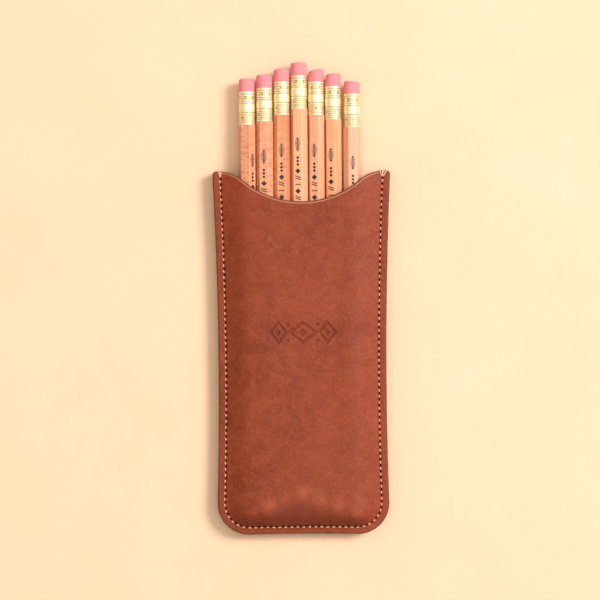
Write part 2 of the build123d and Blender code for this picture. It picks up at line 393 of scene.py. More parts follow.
def spline_weights(f):
    """Shares of four grid lines at a place that is a fraction f past the second one."""
    return (
        (1 - f) ** 3 / 6,
        (3 * f**3 - 6 * f**2 + 4) / 6,
        (-3 * f**3 + 3 * f**2 + 3 * f + 1) / 6,
        f**3 / 6,
    )


def spline_value(field, points):
    """The value of a grid field at scattered points, by cubic B-splines."""
    u = (points[:, 0] - GRID_X[0]) / GRID
    v = (points[:, 1] - GRID_Y[0]) / GRID
    i, j = np.floor(u).astype(int), np.floor(v).astype(int)
    across, along = spline_weights(u - i), spline_weights(v - j)
    total = np.zeros(len(points))
    for a in range(4):
        for b in range(4):
            ia = np.clip(i + a - 1, 0, field.shape[0] - 1)
            jb = np.clip(j + b - 1, 0, field.shape[1] - 1)
            total += across[a] * along[b] * field[ia, jb]
    return total


CEILING, FLOOR = leather_heights()


def inner_height(points, facing):
    """The inner face of the front (facing 1) or the back (facing -1)."""
    return spline_value(CEILING if facing > 0 else FLOOR, points)


def outer_height(points, facing):
    """The outer face without its details: a leather's thickness away, square to the slope."""
    slopes = []
    for reach in ([SLOPE_STEP, 0], [0, SLOPE_STEP]):
        rise = inner_height(points + reach, facing) - inner_height(points - reach, facing)
        slopes.append(rise / (2 * SLOPE_STEP))
    away = LEATHER * np.sqrt(1 + slopes[0] ** 2 + slopes[1] ** 2)
    height = inner_height(points, facing) + facing * away
    return np.maximum(height, 0.0) if facing < 0 else height


# --- Pressed ornament ---
ORNAMENT_Y = 9.0
ORNAMENT_HALVES = np.array([14.6, 5.4])  # of the finely meshed field round it
ORNAMENT_STEP = 0.24  # between that field's points
DIAMONDS = ((0, 5.6), (-10.6, 3.4), (10.6, 3.4))  # place across and half width
DIAMOND_RISE = 4.3  # half height
HEART_SHARE, HEART_RISE = 0.36, 1.4  # the small solid diamond within each
BEAD_PLACE, BEAD_RADIUS = (6.45, 3.4), 0.6  # of four beads, from the ornament's middle
PRESS_DEPTH, PRESS_WALL = 0.38, 0.5
STROKE = 0.55


def diamond(points, x, y, half_width, half_height):
    """Signed distance, roughly, to a diamond; negative inside."""
    size = np.abs(points[:, 0] - x) / half_width + np.abs(points[:, 1] - y) / half_height
    return (size - 1) * half_width * half_height / math.hypot(half_width, half_height)


def pressed_depth(points):
    """Depth of the ornament: a framed lozenge between two framed diamonds, joined by beads."""
    line = np.full(len(points), np.inf)
    for x, half_width in DIAMONDS:
        frame_line = np.abs(diamond(points, x, ORNAMENT_Y, half_width, DIAMOND_RISE)) - STROKE
        heart = diamond(points, x, ORNAMENT_Y, half_width * HEART_SHARE, HEART_RISE)
        line = np.minimum(line, np.minimum(frame_line, heart))
    for side in (-1, 1):
        for end in (-1, 1):
            x, y = side * BEAD_PLACE[0], end * BEAD_PLACE[1]
            bead = np.hypot(points[:, 0] - x, points[:, 1] - ORNAMENT_Y - y) - BEAD_RADIUS
            line = np.minimum(line, bead)
    ramp = np.clip(0.5 - line / PRESS_WALL, 0, 1)
    return PRESS_DEPTH * ramp * ramp * (3 - 2 * ramp)


# --- Leather panels ---
EDGE_STEP, RING_STEP, FACE_STEP, INNER_STEP = 0.5, 0.8, 1.0, 1.9  # between mesh points
FACE_RINGS = (0.1, 0.25, 0.45, 0.75, 1.1, 1.6, 2.2, 2.75, 3.3, 3.85, 4.5, 5.2)  # insets from the edge
RING_SLACK = 0.03  # a ring's point that comes nearer to the edge than this allows is left out
GRID_MARGIN, INNER_MARGIN = 0.5, 0.8  # from the last ring to the grid, and from the edge inside
ROW_SHARE = 0.87  # of a step, between the rows of a staggered grid
PIT_RINGS, PIT_SIDES = (0.5, 0.78, 1.08), 8  # rings round a stitch hole, as shares of its size
PIT_WALL, PIT_MARGIN = 0.34, 0.2  # the hole's sloping side, and the clear leather round its rings
SEAM_DIP, SEAM_DIP_HALF, SEAM_DIP_END = 0.14, 0.7, 76.5  # the shallow groove that the stitches lie in
SEAM_GAP = 0.02  # from the seam's middle to each panel
EDGE_PROFILE = ((0.25, -0.05), (0.6, -0.05), (0.9, 0.04))  # share of the thickness, and how far in
EDGE_ROUGHNESS = 0.03

RIM_FULL = 1.3  # the burnish is at its darkest over the first 0.3 of its width
MOUTH_LINE, MOUTH_LINE_HALF = 0.8, 0.18  # inset of the pale line along the mouth, and its half width
INNER_RIM = 0.4  # how far the burnish runs on round to the inside
MOUTH_BURNISH, SIDE_BURNISH = 0.48, 0.62  # how far the burnish runs in from the cut edge
RIGHT_BURNISH, TOP_RIGHT_BURNISH = 0.12, 0.45  # how much further on the right, and at its top
BURNISH_SIDE = 30  # from the middle to where a side counts in full
BURNISH_TOP, BURNISH_RISE = 20, 55  # where the top begins, and over how much it comes in
SHADE_REACH, SHADE_RISE = 0.5, 0.9  # a slope is measured this far to both sides; the darkest rise
SHADE_TOP, SHADE_FADE, SHADE_AHEAD = -55, 5, 0.5  # where the dark toe begins, and how softly
HIGHLIGHT_BY_PENCIL = (0.0, 0.8, 0.35, 1.0, 0.7, 0.75, 0.2)  # how strong the painted highlight is over each end
HIGHLIGHT_ASIDE, HIGHLIGHT_HALVES = 0.8, (2.7, 2.9)  # how far right of the pencil, towards the key light, and half sizes across and along


def even_grid(low, high, step):
    """A staggered grid of points."""
    rows = np.arange(low[1], high[1], step * ROW_SHARE)
    points = []
    for index, y in enumerate(rows):
        xs = np.arange(low[0] + (index % 2) * step / 2, high[0], step)
        points.append(np.stack([xs, np.full(len(xs), y)], 1))
    return np.concatenate(points)


def triangulate(border, inner):
    """Points and faces that fill a closed border, and each border point's place among the points."""
    points = [tuple(p) for p in border] + [tuple(p) for p in inner]
    edges = [(k, (k + 1) % len(border)) for k in range(len(border))]
    made = geometry.delaunay_2d_cdt(points, edges, [], 1, 1e-5)
    found = {source[0]: k for k, source in enumerate(made[3]) if source and source[0] < len(border)}
    places = [found[k] for k in range(len(border))]
    return np.array([tuple(p) for p in made[0]]), [list(face) for face in made[2]], places


def inside_outline(points):
    """Whether each point is inside the outline, from the nearest edge point's normal."""
    _, index = distances(points, ALL_EDGE)
    return np.sum((points - DENSE[index]) * DENSE_NORMAL[index], axis=1) > 0


def slanted(index):
    """The long and the short direction of a stitch hole."""
    way, inward = SEAM_WAY[index], SEAM_IN[index]
    cos, sin = math.cos(PIT_SLANT), math.sin(PIT_SLANT)
    return way * cos + inward * sin, inward * cos - way * sin


def pit_shares(points):
    """How far down a stitch hole each point lies: 1 on its floor, 0 outside."""
    gap, index = distances(points, tree_of(HOLES))
    share = np.zeros(len(points))
    for k in np.nonzero(gap < 2 * PIT_HALVES[0])[0]:
        way, inward = slanted(index[k])
        offset = points[k] - HOLES[index[k]]
        size = math.hypot(offset @ way / PIT_HALVES[0], offset @ inward / PIT_HALVES[1])
        share[k] = np.clip((PIT_RINGS[-1] - size) / PIT_WALL, 0, 1)
    return share


def edge_rings():
    """Rings of points that follow the cut edge, without those that would cross at a corner."""
    rings = []
    for inset in FACE_RINGS:
        ring, normal, _ = outline(EDGE_STEP if inset < 1 else RING_STEP)
        moved = ring + normal * inset
        gap, _ = distances(moved, ALL_EDGE)
        rings.append(moved[gap > inset - RING_SLACK])
    return rings


def face_grids(facing):
    """Grids of points for a panel's middle, finer round the front's ornament."""
    grid = even_grid(DENSE.min(0), DENSE.max(0), FACE_STEP)
    gap, _ = distances(grid, ALL_EDGE)
    keep = inside_outline(grid) & (gap > FACE_RINGS[-1] + GRID_MARGIN)
    if facing < 0:
        return [grid[keep]]
    middle = np.array([0, ORNAMENT_Y])
    keep &= ~np.all(np.abs(grid - middle) < ORNAMENT_HALVES, axis=1)
    return [even_grid(middle - ORNAMENT_HALVES, middle + ORNAMENT_HALVES, ORNAMENT_STEP), grid[keep]]


def pit_points():
    """The middle of every stitch hole, and the rings round it."""
    points = []
    for index, hole in enumerate(HOLES):
        way, inward = slanted(index)
        points.append(hole)
        for size in PIT_RINGS:
            for k in range(PIT_SIDES):
                angle = k * 2 * math.pi / PIT_SIDES + size
                offset = way * math.cos(angle) * PIT_HALVES[0] + inward * math.sin(angle) * PIT_HALVES[1]
                points.append(hole + size * offset)
    return np.array(points)


def face_points(facing):
    """Inner points of a panel's outer face: rings along the edge, grids, and stitch holes."""
    points = np.concatenate(edge_rings() + face_grids(facing))
    gap, _ = distances(points, tree_of(HOLES))
    clear = gap > PIT_RINGS[-1] * PIT_HALVES[0] + PIT_MARGIN
    return np.concatenate([points[clear], pit_points()])


def inner_points():
    """A plain grid for the flesh side, inside the outline."""
    grid = even_grid(DENSE.min(0), DENSE.max(0), INNER_STEP)
    gap, _ = distances(grid, ALL_EDGE)
    return grid[inside_outline(grid) & (gap > INNER_MARGIN)]


def rim_width(points, mouth):
    """How far the dark burnish runs in from the cut edge: narrow at the mouth, widest top right."""
    right = np.clip(points[:, 0] / BURNISH_SIDE, -1, 1)
    high = np.clip((points[:, 1] - BURNISH_TOP) / BURNISH_RISE, 0, 1)
    side = SIDE_BURNISH + RIGHT_BURNISH * right + TOP_RIGHT_BURNISH * np.clip(right, 0, 1) * high
    return np.where(mouth, MOUTH_BURNISH, side)


def toe_shade(points, sewn_gap, facing):
    """Painted shade on the toe's slope and past the pencils' ends, from 0 to 1."""
    reach = [0, SHADE_REACH]
    rise = outer_height(points + reach, facing) - outer_height(points - reach, facing)
    steep = np.clip(facing * rise / SHADE_RISE, 0, 1)
    slope = steep * np.clip((SHADE_TOP - points[:, 1]) / SHADE_FADE, 0, 1)
    if facing < 0:
        return slope
    across, tips = ([pencil[key] for pencil in PENCILS] for key in ("x", "tip"))
    ends = np.interp(points[:, 0], across, tips)
    past = np.clip((ends + SHADE_AHEAD - points[:, 1]) / SHADE_FADE, 0, 1)
    return np.maximum(slope, past * np.clip(sewn_gap - FLANGE, 0, 1))


def painted_bump_highlights(points):
    """Painted highlights where pencil ends lift the front, set a little to their lit right, from 0 to 1.
    """
    share = np.zeros(len(points))
    for pencil, strength in zip(PENCILS, HIGHLIGHT_BY_PENCIL):
        across = (points[:, 0] - pencil["x"] - HIGHLIGHT_ASIDE) / HIGHLIGHT_HALVES[0]
        along = (points[:, 1] - pencil["tip"] - BUMP_AT) / HIGHLIGHT_HALVES[1]
        share = np.maximum(share, strength * np.exp(-(along**2) - across**2))
    return share


def outer_face(border, facing):
    """A panel's outer face with its details: points, faces, border places and marks."""
    flat, faces, places = triangulate(border, face_points(facing))
    gap, nearest = distances(flat, ALL_EDGE)
    sewn_gap, _ = distances(flat, SEWN_EDGE)
    mouth = DENSE_MOUTH[nearest]
    pressed = pressed_depth(flat) if facing > 0 else np.zeros(len(flat))
    marks = {
        "rim": np.clip(RIM_FULL - gap / rim_width(flat, mouth), 0, 1),
        "mouth": mouth * np.exp(-(((gap - MOUTH_LINE) / MOUTH_LINE_HALF) ** 2)),
        "pit": pit_shares(flat),
        "pressed": pressed / PRESS_DEPTH,
        "painted_toe_shade": toe_shade(flat, sewn_gap, facing),
        # the worn mark is a painted highlight over the pencils' ends, on the front only
        "worn": painted_bump_highlights(flat) if facing > 0 else np.zeros(len(flat)),
    }
    inward = np.clip(1 - gap / EDGE_ROUND, 0, 1)
    dip = np.exp(-(((sewn_gap - STITCH_INSET) / SEAM_DIP_HALF) ** 2)) * (flat[:, 1] < SEAM_DIP_END)
    height = outer_height(flat, facing)
    height -= facing * EDGE_ROUND * (1 - np.sqrt(np.clip(1 - inward**2, 0, 1)))
    height -= facing * SEAM_DIP * dip
    height -= facing * PIT_DEPTH * marks["pit"]
    height -= pressed
    if facing < 0:
        height = np.maximum(height, 0)
        faces = [face[::-1] for face in faces]
    return np.column_stack([flat, height]), faces, places, marks


def inner_face(border, facing):
    """A panel's flesh side: points, faces, border places and the burnish."""
    flat, faces, places = triangulate(border, inner_points())
    gap, _ = distances(flat, ALL_EDGE)
    height = inner_height(flat, facing) + facing * SEAM_GAP
    if facing > 0:
        faces = [face[::-1] for face in faces]
    return np.column_stack([flat, height]), faces, places, np.clip(1 - gap / INNER_RIM, 0, 1)


def spread(values, start, total):
    """Values for one stretch of a piece's points, and 0 for the others."""
    full = np.zeros(total)
    full[start : start + len(values)] = values
    return full


def leather_panel(name, node, facing, material):
    """One panel: outer face, cut edge and inner face."""
    border, normal, _ = outline(EDGE_STEP)
    build = Builder()
    outer, outer_faces, outer_places, outer_marks = outer_face(border, facing)
    build.add(outer, outer_faces)
    inner, inner_faces, inner_places, inner_rim = inner_face(border, facing)
    inner_base = build.add(inner, inner_faces)
    outer_z, inner_z = outer[outer_places, 2], inner[inner_places, 2]
    rings = [outer_places]
    for share, tuck in EDGE_PROFILE:
        rough = RNG.normal(0, EDGE_ROUGHNESS, len(border))
        ring = border + normal * (tuck + rough)[:, None]
        base = build.add(np.column_stack([ring, outer_z + (inner_z - outer_z) * share]), [])
        rings.append([base + k for k in range(len(border))])
    rings.append([inner_base + k for k in inner_places])
    for first, second in zip(rings, rings[1:]):
        for k in range(len(border)):
            after = (k + 1) % len(border)
            face = [first[k], second[k], second[after], first[after]]
            build.faces.append(face if facing > 0 else face[::-1])
    marks = {label: spread(values, 0, build.count) for label, values in outer_marks.items()}
    marks["rim"] += spread(inner_rim, inner_base, build.count)
    marks["rim"][inner_base + len(inner) :] = 1
    marks["flesh"] = spread(np.ones(len(inner)), inner_base, build.count)
    points = build.all_points()
    make_piece(name, points, build.faces, material, "sleeve", (node,), marks=marks)


# --- Stitching ---
STITCH_ENDS, STITCH_POINTS = (0.14, 0.86), 15  # shares of the way from hole to hole
STITCH_BOW, LEFT_BOW, TOE_BOW = 0.17, 0.12, 0.2  # how far a stitch bends out, and how much more there
STITCH_SLANT = 0.17  # how far its ends stand aside
STITCH_LEVEL = 0.1  # of its middle above the leather
DIVE_FROM, DIVE_OVER, DIVE_DEPTH = 0.12, 0.4, 1.15  # how it goes down into its holes
END_STITCH, STITCH_TAPER = 1.3, 0.25  # thickness of the first and last one, and how all thin out
BOW_SPREAD, LEVEL_SPREAD, RADIUS_SPREAD = 0.03, 0.02, 0.05  # random, from stitch to stitch
STITCH_TWIST, WRAP_TWIST = 0.55, 0.5  # turns of the yarn per millimetre
LEFT_WRAPS = (-0.7, 0.2)  # how far the turns over the mouth's edge land from the end hole
RIGHT_WRAPS = (-1.0, 0.2, 1.85)
WRAP_INSET, WRAP_REACH = 0.25, 0.38  # below the mouth's edge, and out from there
WRAP_LIFT, WRAP_LIFT_STEP = 0.22, 0.05  # above the leather, and more for each further turn
WRAP_DIVE, WRAP_DIVE_POWER = 1.5, 3.5  # how deep it goes into the hole, and how abruptly
WRAP_SWEEP = 75  # degrees to both sides, round the edge
WRAP_THICKNESS, WRAP_POINTS = 1.12, 66
LOOSE_ENDS = 3  # short frayed tails at each end of the seam
TAIL_RADIUS, TAIL_SPREAD, TAIL_CURL = 0.06, 0.6, 0.15
TAIL_START = (0.5, 0.7, 0.15)  # outwards from the hole, below the mouth's edge, and above the leather
TAIL_REACH = (0.5, 0.8, 0.1)  # outwards, along and up
SUNK_OVER = 0.3  # the depth in the leather at which the thread is fully painted dark as shade


def stitches(facing, build):
    """Every stitch on one face: a short twisted thread, slanted, that dives towards both holes.

    The stitches lie a little outside the holes on the left and along the toe.
    """
    for k in range(len(HOLES) - 1):
        start, end = HOLES[k], HOLES[k + 1]
        out = -(SEAM_IN[k] + SEAM_IN[k + 1]) / 2
        share = np.linspace(*STITCH_ENDS, STITCH_POINTS)
        ends = np.abs(2 * share - 1)
        lean = STITCH_BOW - LEFT_BOW * out[0] + TOE_BOW * max(-out[1], 0)
        bow = (lean + RNG.normal(0, BOW_SPREAD)) * (1 - ends**2)
        slant = STITCH_SLANT * facing * (1 - 2 * share)
        path = start + (end - start) * share[:, None] + out * (bow + slant)[:, None]
        dive = np.clip((ends - DIVE_FROM) / DIVE_OVER, 0, 1)
        dip = DIVE_DEPTH * dive * dive * (3 - 2 * dive)
        level = outer_height(path, facing) + facing * (STITCH_LEVEL + RNG.normal(0, LEVEL_SPREAD) - dip)
        thickness = END_STITCH if k in (0, len(HOLES) - 2) else 1.0
        taper = 1 - STITCH_TAPER * ends**4
        radius = THREAD_RADIUS * thickness * (1 + RADIUS_SPREAD * RNG.normal()) * taper
        build.add(*strand(np.column_stack([path, level]), radius, turns_per_mm=STITCH_TWIST))


def wrap_path(hole, offset, lift):
    """One turn of thread: up the front from a hole, over the mouth's edge and down the back."""
    far = np.array([hole[0] + offset, HALF_LENGTH - WRAP_INSET])
    share = np.linspace(0, 1, 10)
    flat = hole + (far - hole) * share[:, None]
    dive = WRAP_DIVE * (1 - share) ** WRAP_DIVE_POWER
    front = np.column_stack([flat, outer_height(flat, 1) + lift - dive])
    back = np.column_stack([flat, outer_height(flat, -1) - lift + dive])
    middle = (front[-1, 2] + back[-1, 2]) / 2
    angles = np.radians(np.linspace(WRAP_SWEEP, -WRAP_SWEEP, 9))
    over = np.column_stack([
        np.full(len(angles), far[0]),
        far[1] + WRAP_REACH * np.sqrt(np.cos(angles)),
        middle + (front[-1, 2] - middle) * np.sin(angles),
    ])
    path = np.concatenate([front, over, back[::-1]])
    fine = np.linspace(0, len(path) - 1, WRAP_POINTS)
    path = np.column_stack([np.interp(fine, np.arange(len(path)), path[:, c]) for c in range(3)])
    for _ in range(3):
        path[1:-1] = (path[:-2] + 2 * path[1:-1] + path[2:]) / 4
    return path


def wraps(build):
    """Turns of thread over the mouth's edge at both ends of the seam."""
    for hole, offsets in ((HOLES[0], LEFT_WRAPS), (HOLES[-1], RIGHT_WRAPS)):
        for order, offset in enumerate(offsets):
            path = wrap_path(hole, offset, WRAP_LIFT + WRAP_LIFT_STEP * order)
            build.add(*strand(path, THREAD_RADIUS * WRAP_THICKNESS, turns_per_mm=WRAP_TWIST))


def loose_ends(build):
    """Short frayed tails where the thread was cut."""
    (start_x, start_y, start_z), (reach_x, reach_y, reach_z) = TAIL_START, TAIL_REACH
    for hole, side in ((HOLES[0], -1), (HOLES[-1], 1)):
        base = outer_height(hole[None], 1)[0]
        start = np.array([hole[0] + side * start_x, HALF_LENGTH - start_y, base + start_z])
        for _ in range(LOOSE_ENDS):
            lean = RNG.uniform(-TAIL_SPREAD, TAIL_SPREAD, 2)
            share = np.linspace(0, 1, 8)[:, None]
            reach = np.array([side * (reach_x + lean[0]), reach_y + 0.5 * lean[1], reach_z])
            curl = np.array([TAIL_CURL * lean[1], 0, TAIL_CURL]) * np.sin(share * 3)
            build.add(*strand(start + reach * share + curl, TAIL_RADIUS, sides=6, lobes=0))


def thread_piece(material):
    """The whole saddle stitch as one piece, marked where it is sunk in the leather for painted shade."""
    build = Builder()
    stitches(1, build)
    stitches(-1, build)
    wraps(build)
    loose_ends(build)
    points = build.all_points()
    flat, level = points[:, :2], points[:, 2]
    under = np.minimum(outer_height(flat, 1) - level, level - outer_height(flat, -1))
    marks = {"sunk": np.clip(under / SUNK_OVER, 0, 1)}
    name, replaced = "saddle_stitching", ("stitching_thread",)
    make_piece(name, points, build.faces, material, "sleeve", replaced, marks=marks)


# --- Pencils ---
TUBE_RADIUS, BORE_RADIUS = 3.5, 3.36
OUTSIDE_FROM = BORE_RADIUS + 0.03  # only what lies further out is dented
GROOVES_AT = (1.05, 2.1, 3.15, 4.2, 5.1, 9.05, 10.15, 11.0, 11.85, 12.7, 13.5)
GROOVE_DEPTHS = (0.1, 0.1, 0.1, 0.1, 0.13, 0.17, 0.09, 0.09, 0.09, 0.09, 0.09)
GROOVE_HALF = 0.2
BARREL, BARREL_SWELL = (5.4, 8.8), 0.055  # the smooth band that swells a little
DENTS_AT, DENT_ROW_TURN = (2.6, 11.4), 0.5  # rows of punched dents that hold the eraser and the wood
DENTS_IN_ROW, DENT_RADIUS, DENT_DEPTH = 6, 0.36, 0.13
DENT_SCATTER = (0.04, 0.08)  # round the tube in radians, and along it
RIM_ROUND, RIM_DEPTH, RIM_FLARE = 0.08, 0.4, 0.02  # how the tube's ends are finished
FERRULE_SIDES, FERRULE_ROWS = 96, 181

ERASER_RADIUS, ERASER_ROUND, ERASER_SIDES = 3.46, 0.75, 64
ERASER_DEPTH, ERASER_FIT = 4.0, 0.03  # in the ferrule, and the gap round it there
SWELL_OVER = 0.5  # how soon it swells above the ferrule
TILT_EDGE = 3.4  # the side that keeps its height when the end is worn to a tilt
CORE_RADIUS = 0.05  # of the tiny cap that closes a turned shape at its axis
END_RADII = (2.2, 1.6, 0.9, CORE_RADIUS)  # the rings of points on its flat end
# How each eraser is worn: the tilt of its end in degrees, and how far its left side is rubbed in.
ERASER_WEAR = ((1.0, 0.05), (-1.5, 0.05), (3.0, 0.1), (0.5, 0.0), (9.0, 0.6), (4.0, 0.7), (-4.0, 0.1))


def dent_shares(angles, radius, y, dents):
    """How deep in a dent each point of a ring is, from 0 to 1."""
    share = np.zeros(len(angles))
    for dent_y, dent_angle in dents:
        turn = (angles - dent_angle + math.pi) % (2 * math.pi) - math.pi
        gap = np.hypot(turn * radius, y - dent_y)
        share = np.maximum(share, np.exp(-((gap / DENT_RADIUS) ** 2)) * (radius > OUTSIDE_FROM))
    return share


def revolve(profile, pencil, sides, dents=(), lean=None):
    """A closed turned piece about a pencil's axis, from (place along it, radius) pairs."""
    angles = np.arange(sides) * 2 * math.pi / sides
    points, dented = [], []
    for y, radius in profile:
        share = dent_shares(angles, radius, y, dents)
        ring = radius - DENT_DEPTH * share
        points.append(np.column_stack([ring * np.cos(angles), np.full(sides, y), ring * np.sin(angles)]))
        dented.append(share)
    points = np.concatenate(points)
    if lean is not None:
        points = lean(points)
    cos, sin = math.cos(pencil["roll"]), math.sin(pencil["roll"])
    placed = np.column_stack([
        pencil["x"] + points[:, 0] * cos - points[:, 2] * sin,
        points[:, 1],
        pencil["z"] + points[:, 0] * sin + points[:, 2] * cos,
    ])
    faces = ring_faces(len(profile), sides)
    return placed, [face[::-1] for face in faces], np.concatenate(dented)


def groove_share(u):
    """How deep in a rolled groove a place along the ferrule is, and the depth in millimetres."""
    shares = [math.exp(-(((u - at) / GROOVE_HALF) ** 2)) for at in GROOVES_AT]
    return max(shares), sum(share * depth for share, depth in zip(shares, GROOVE_DEPTHS))


def ferrule_radius(u):
    """The ferrule's outer radius at a distance from its eraser end."""
    radius = TUBE_RADIUS - groove_share(u)[1]
    if BARREL[0] < u < BARREL[1]:
        radius += BARREL_SWELL * math.sin(math.pi * (u - BARREL[0]) / (BARREL[1] - BARREL[0]))
    return radius


def ferrule_piece(number, pencil, material):
    """A thin gold tube with rolled grooves, a smooth barrel and punched dents."""
    low, high = pencil["ferrule"]
    rows = np.linspace(0, high - low, FERRULE_ROWS)
    grooved = [0.0, 0.0] + [groove_share(u)[0] for u in rows] + [0.0, 0.0]
    outer = [(high - u, ferrule_radius(u)) for u in rows]
    for end in (0, -1):
        outer[end] = (outer[end][0], outer[end][1] - RIM_ROUND)
    top = [(high - RIM_DEPTH, BORE_RADIUS), (high, BORE_RADIUS + RIM_FLARE)]
    bottom = [(low, BORE_RADIUS), (low + RIM_DEPTH, BORE_RADIUS)]
    profile = top + outer + bottom
    dents = []
    spin = RNG.uniform(0, 2 * math.pi)
    for row, u in enumerate(DENTS_AT):
        for k in range(DENTS_IN_ROW):
            turn = spin + row * DENT_ROW_TURN + 2 * math.pi * k / DENTS_IN_ROW
            angle = turn + RNG.normal(0, DENT_SCATTER[0])
            dents.append((high - u + RNG.normal(0, DENT_SCATTER[1]), angle))
    points, faces, dented = revolve(profile[::-1], pencil, FERRULE_SIDES, dents)
    marks = {"groove": np.repeat(grooved[::-1], FERRULE_SIDES), "dent": dented}
    body, name = f"pencil_{number}", f"pencil_{number}_ferrule"
    make_piece(name + "_shell", points, faces, material, body, (name,), marks=marks)


def eraser_profile(rim, end):
    """The plug's outline, from its hidden end in the ferrule to its free end."""
    body = BORE_RADIUS - ERASER_FIT
    profile = [(rim - ERASER_DEPTH, CORE_RADIUS), (rim - ERASER_DEPTH, body)]
    for y in np.linspace(rim - 0.9 * ERASER_DEPTH, rim - 0.1, 6):
        profile.append((y, body))
    for y in np.linspace(rim + 0.12, end - 0.9, 14):
        profile.append((y, body + (ERASER_RADIUS - body) * (1 - math.exp(-(y - rim) / SWELL_OVER))))
    for angle in np.radians(np.linspace(0, 90, 9)):
        y = end - ERASER_ROUND + ERASER_ROUND * math.sin(angle)
        profile.append((y, ERASER_RADIUS - ERASER_ROUND + ERASER_ROUND * math.cos(angle)))
    return profile + [(end, radius) for radius in END_RADII]


def eraser_piece(number, pencil, material):
    """A pink plug that swells a little above the ferrule's rim, with a soft, slightly worn end."""
    rim, end = pencil["ferrule"][1], pencil["end"]
    tilt, rubbed = ERASER_WEAR[number - 1]

    def lean(points):
        """The free end, worn to a tilt and rubbed in on its left."""
        up = np.clip((points[:, 1] - rim) / (end - rim), 0, 1)
        moved = points.copy()
        moved[:, 0] += rubbed * up**2 * (1 - points[:, 0] / ERASER_RADIUS) / 2
        reach = points[:, 0] - TILT_EDGE * math.copysign(1, tilt)
        moved[:, 1] += up**2 * reach * math.tan(math.radians(tilt))
        return moved

    points, faces, _ = revolve(eraser_profile(rim, end), pencil, ERASER_SIDES, lean=lean)
    name = f"pencil_{number}_eraser"
    make_piece(name + "_plug", points, faces, material, f"pencil_{number}", (name,))


STAMP_START = 12.2  # from the ferrule to the printed mark
STAMP_PROUD, STAMP_THICK = 0.012, 0.03
STAMP_FACETS = (-60, 0, 0, 0, 0, 0, 0)  # which facet is printed, in degrees from the upper one
FEATHER, FEATHER_HALF, BARBS = 6.1, 1.15, 6
QUILL_WIDTH, BARB_WIDTH, BARB_SLANT = 0.26, 0.34, 0.75
BARBS_FROM, BARBS_SHORT = 0.5, 1.4  # from the quill's start, and less than its length
BEADS_AT, BEAD_HALF = (8.9, 10.4, 11.9), 0.72
MOTIFS_AT, MOTIF_PITCH, MOTIF_COUNT, MOTIF_HALF = 14.7, 2.9, 9, 1.2
SLANT, SLANT_WIDTH = 0.9, 0.42  # of the paired strokes
ROW_PITCH = 0.8  # between three small squares


def square(along, across, half):
    """One stroke that is a solid square standing on its corner."""
    h = half / 2
    return (along - h, across - h, along + h, across + h, half * math.sqrt(2))


def feather():
    """A quill with slanted barbs that grow longer towards its middle."""
    strokes = [(0.0, 0.0, FEATHER, 0.0, QUILL_WIDTH)]
    for k in range(BARBS):
        at = BARBS_FROM + k * (FEATHER - BARBS_SHORT) / (BARBS - 1)
        reach = FEATHER_HALF * math.sin(math.pi * (k + 1.2) / (BARBS + 1.4))
        for side in (-1, 1):
            strokes.append((at + BARB_SLANT, 0, at, side * reach, BARB_WIDTH))
    return strokes


def slanted_pair(at):
    """Two slanted strokes side by side."""
    starts = (at - SLANT, at)
    return [(start, -MOTIF_HALF, start + SLANT, MOTIF_HALF, SLANT_WIDTH) for start in starts]


def stamp_strokes():
    """The generic printed mark as strokes: start, end and width, along and across the pencil."""
    strokes = feather() + [square(at, 0, BEAD_HALF) for at in BEADS_AT]
    for k in range(MOTIF_COUNT):
        at = MOTIFS_AT + k * MOTIF_PITCH
        if k % 3 == 0:
            strokes.append(square(at, 0, MOTIF_HALF))
        elif k % 3 == 1:
            strokes += slanted_pair(at)
        else:
            strokes += [square(at, side * ROW_PITCH, SLANT_WIDTH) for side in (-1, 0, 1)]
    return strokes


def stamp_piece(number, pencil, material):
    """The dark foil mark pressed on one of the pencil's facets."""
    build = Builder()
    turn = pencil["roll"] + math.radians(STAMP_FACETS[number - 1])
    cos, sin = math.cos(turn), math.sin(turn)
    lift = HEX_FLATS / 2 + STAMP_PROUD
    start = pencil["ferrule"][0] - STAMP_START
    for x0, y0, x1, y1, width in stamp_strokes():
        way = np.array([x1 - x0, y1 - y0]) / math.hypot(x1 - x0, y1 - y0)
        aside = np.array([-way[1], way[0]]) * width / 2
        ends = [np.array([x0, y0]), np.array([x1, y1])]
        corners = [ends[0] + aside, ends[0] - aside, ends[1] - aside, ends[1] + aside]
        points = []
        for level in (lift - STAMP_THICK, lift):
            for along, across in corners:
                points.append((
                    pencil["x"] + across * cos - level * sin,
                    start - along,
                    pencil["z"] + across * sin + level * cos,
                ))
        sides = [(k, (k + 1) % 4, 4 + (k + 1) % 4, 4 + k) for k in range(4)]
        build.add(points, [(3, 2, 1, 0), (4, 5, 6, 7), *sides])
    body, points = f"pencil_{number}", build.all_points()
    make_piece(body + "_stamp", points, build.faces, material, body, smooth=False)


# --- Materials ---


def srgb(red, green, blue):
    """A colour given as 0 to 255 sRGB values, as linear RGBA."""
    linear = []
    for value in (red, green, blue):
        v = value / 255
        linear.append(v / 12.92 if v <= 0.04045 else ((v + 0.055) / 1.055) ** 2.4)
    return (*linear, 1.0)


